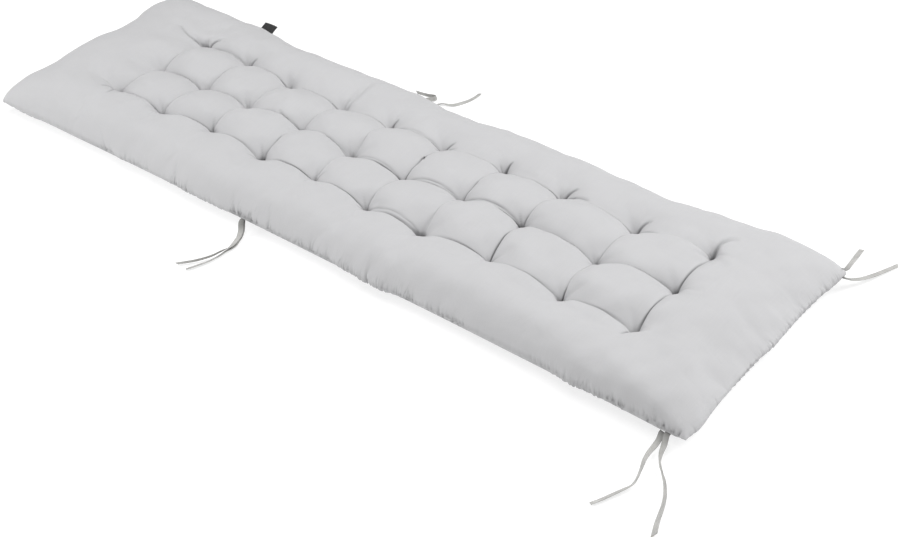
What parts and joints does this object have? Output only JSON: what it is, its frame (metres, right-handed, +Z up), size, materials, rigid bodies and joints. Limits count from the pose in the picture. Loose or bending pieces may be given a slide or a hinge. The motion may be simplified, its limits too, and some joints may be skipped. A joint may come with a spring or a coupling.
{
  "type": "sun lounger cushion",
  "caption": "Long tufted seat and back cushion for a sun lounger, filled and crowned, with a knife-edge seam and pairs of fabric tie ribbons along its edges",
  "frame": {"origin": "on the ground under the middle of the cushion, at its underside", "axes": "+X runs from the head end to the foot end, +Y to the left side of a person who lies on it, +Z is up"},
  "size_m": [1.9657, 0.8776, 0.1091],
  "materials": {
    "cushion_cloth": "matte",
    "tie_cloth": "matte",
    "label_cloth": "matte"
  },
  "bodies": {
    "root": {"cushion": "cushion_cloth", "label": "label_cloth", "tie_right_mid_1": "tie_cloth", "tie_right_mid_2": "tie_cloth", "tie_left_mid_1": "tie_cloth", "tie_left_mid_2": "tie_cloth", "tie_right_foot_1": "tie_cloth", "tie_right_foot_2": "tie_cloth", "tie_left_foot_1": "tie_cloth", "tie_left_foot_2": "tie_cloth"}
  },
  "joints": []
}
